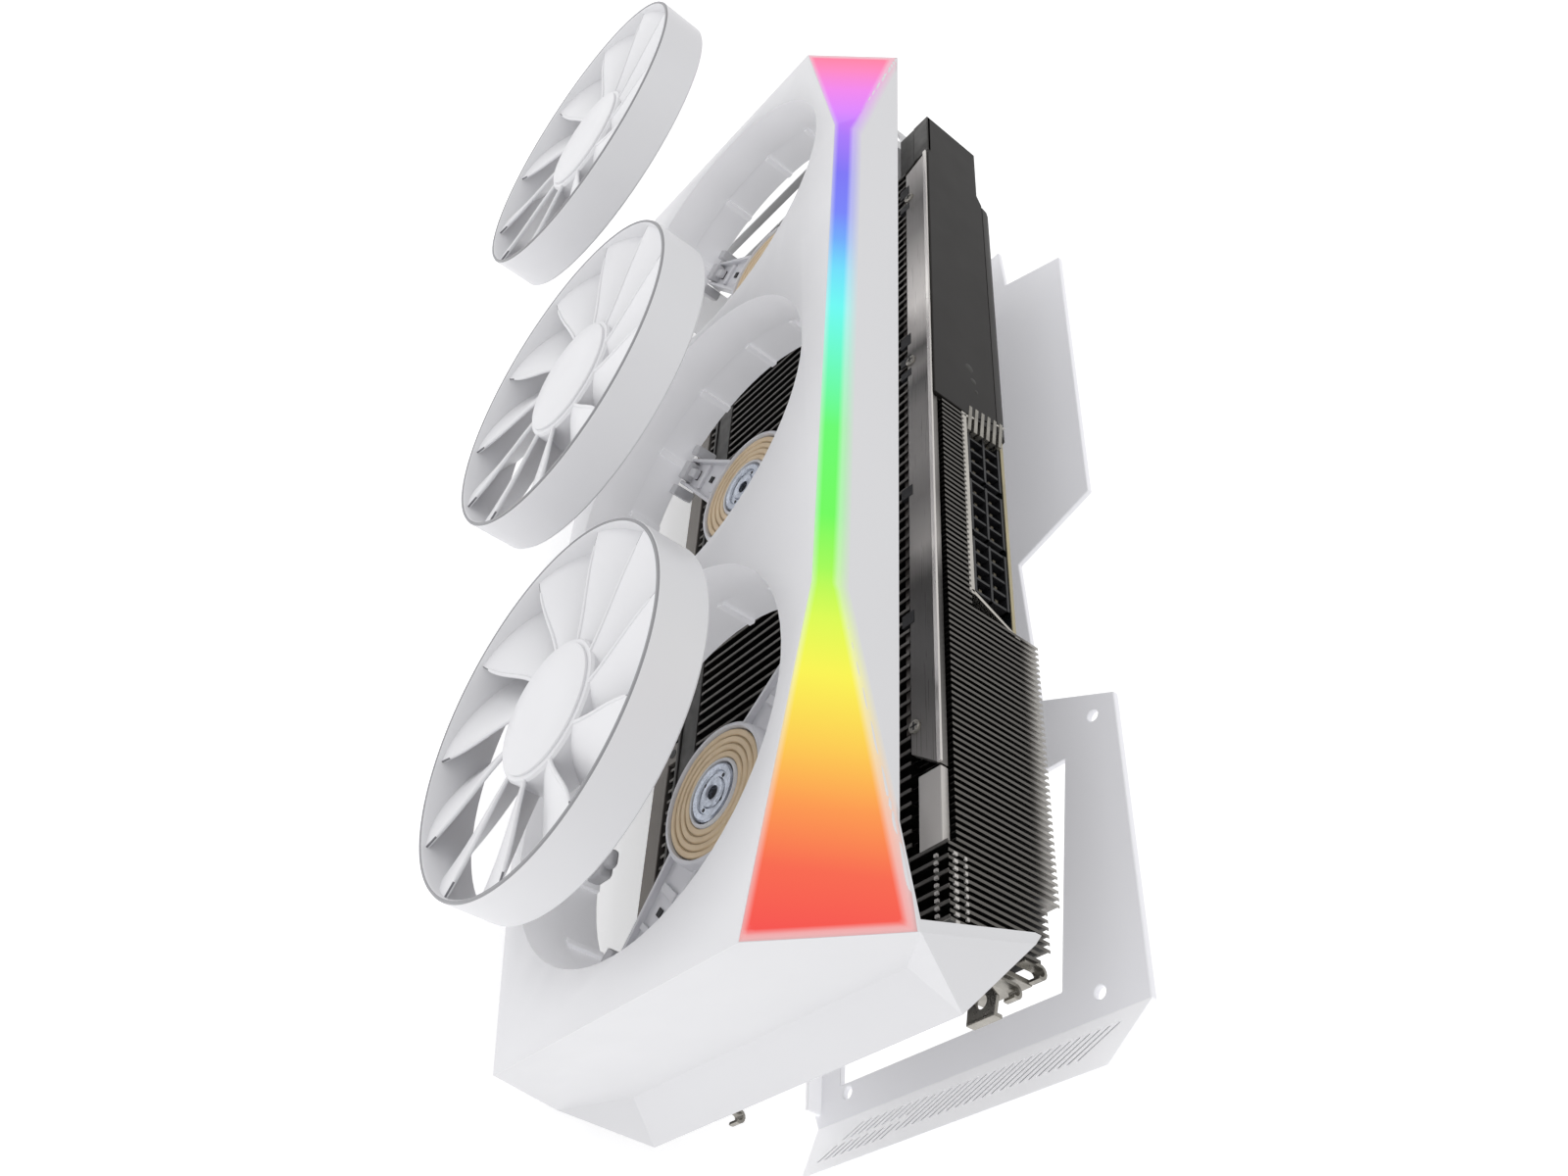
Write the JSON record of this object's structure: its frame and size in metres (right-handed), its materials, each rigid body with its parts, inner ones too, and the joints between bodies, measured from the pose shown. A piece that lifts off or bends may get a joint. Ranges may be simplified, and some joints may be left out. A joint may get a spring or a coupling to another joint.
{
  "type": "graphics card",
  "caption": "Triple-fan graphics card pulled apart in layers: pull-off fans, faceted lit shroud, finned heatsink on its board, and a metal backplate.",
  "frame": {"origin": "on the outer face of the slot bracket, at the middle of its width, 7 mm below its top flange", "axes": "+X along the card from the slot bracket to the tail, +Y from the fans to the backplate, +Z from the slot connector to the lit top edge"},
  "size_m": [0.358, 0.169, 0.148],
  "materials": {
    "white_plastic": "satin moulded",
    "white_fan": "satin moulded",
    "light_diffuser": "lit, colours run along its length",
    "silver_mount": "silver-white",
    "coil": "tan rings",
    "spindle_steel": "turned",
    "magnet": "nickel plated",
    "dark_fins": "black nickel",
    "black_coat": "satin black",
    "bracket_steel": "nickel plated",
    "brushed_rail": "brushed",
    "nickel": "nickel plated",
    "copper_pipe": "satin",
    "board": "solder mask",
    "chip": "moulded package",
    "socket_black": "moulded",
    "backplate_metal": "satin white paint"
  },
  "bodies": {
    "core": {"fin_stack_main": "dark_fins", "fin_stack_tail": "dark_fins", "cold_plate": "nickel", "front_rail": "brushed_rail", "tail_block": "nickel", "slot_rail": "brushed_rail", "side_cover": "black_coat", "connector_frame": "nickel", "tail_bracket": "nickel", "circuit_board": "board", "graphics_chip": "chip", "spring_plate": "nickel", "slot_bracket": "bracket_steel", "heat_pipe_1": "copper_pipe", "heat_pipe_2": "copper_pipe", "heat_pipe_3": "copper_pipe", "heat_pipe_4": "copper_pipe", "memory_chip_1": "chip", "memory_chip_2": "chip", "memory_chip_3": "chip", "memory_chip_4": "chip", "memory_chip_5": "chip", "memory_chip_6": "chip", "memory_chip_7": "chip", "memory_chip_8": "chip", "power_socket_1": "socket_black", "power_socket_2": "socket_black", "power_socket_3": "socket_black", "display_socket_1": "nickel", "display_socket_2": "nickel", "display_socket_3": "nickel", "display_socket_4": "nickel"},
    "shroud": {"shroud_shell": "white_plastic", "light_bar": "light_diffuser", "fan_mount_1": "silver_mount", "fan_mount_2": "silver_mount", "fan_mount_3": "silver_mount", "motor_stator_1": "coil", "motor_stator_2": "coil", "motor_stator_3": "coil"},
    "spindle_1": {"motor_spindle_1": "spindle_steel"},
    "spindle_2": {"motor_spindle_2": "spindle_steel"},
    "spindle_3": {"motor_spindle_3": "spindle_steel"},
    "fan_1": {"fan_rotor_1": "white_fan", "fan_hub_cap_1": "white_fan", "fan_magnet_1": "magnet"},
    "fan_2": {"fan_rotor_2": "white_fan", "fan_hub_cap_2": "white_fan", "fan_magnet_2": "magnet"},
    "fan_3": {"fan_rotor_3": "white_fan", "fan_hub_cap_3": "white_fan", "fan_magnet_3": "magnet"},
    "backplate": {"backplate": "backplate_metal"}
  },
  "joints": [
    {"name": "shroud_slide", "type": "slide", "parent": "core", "child": "shroud", "axis": [0, 1, 0], "range_m": [0, 0.016]},
    {"name": "backplate_slide", "type": "slide", "parent": "core", "child": "backplate", "axis": [0, -1, 0], "range_m": [0, 0.027]},
    {"name": "fan_spin_1", "type": "hinge", "parent": "shroud", "child": "spindle_1", "pos_m": [0.0645, -0.0285, -0.03], "axis": [0, 1, 0], "continuous": true},
    {"name": "fan_spin_2", "type": "hinge", "parent": "shroud", "child": "spindle_2", "pos_m": [0.1727, -0.0285, -0.03], "axis": [0, 1, 0], "continuous": true},
    {"name": "fan_spin_3", "type": "hinge", "parent": "shroud", "child": "spindle_3", "pos_m": [0.2809, -0.0285, -0.03], "axis": [0, 1, 0], "continuous": true},
    {"name": "fan_slide_1", "type": "slide", "parent": "spindle_1", "child": "fan_1", "axis": [0, 1, 0], "range_m": [0, 0.0585]},
    {"name": "fan_slide_2", "type": "slide", "parent": "spindle_2", "child": "fan_2", "axis": [0, 1, 0], "range_m": [0, 0.0455]},
    {"name": "fan_slide_3", "type": "slide", "parent": "spindle_3", "child": "fan_3", "axis": [0, 1, 0], "range_m": [0, 0.0325]}
  ]
}
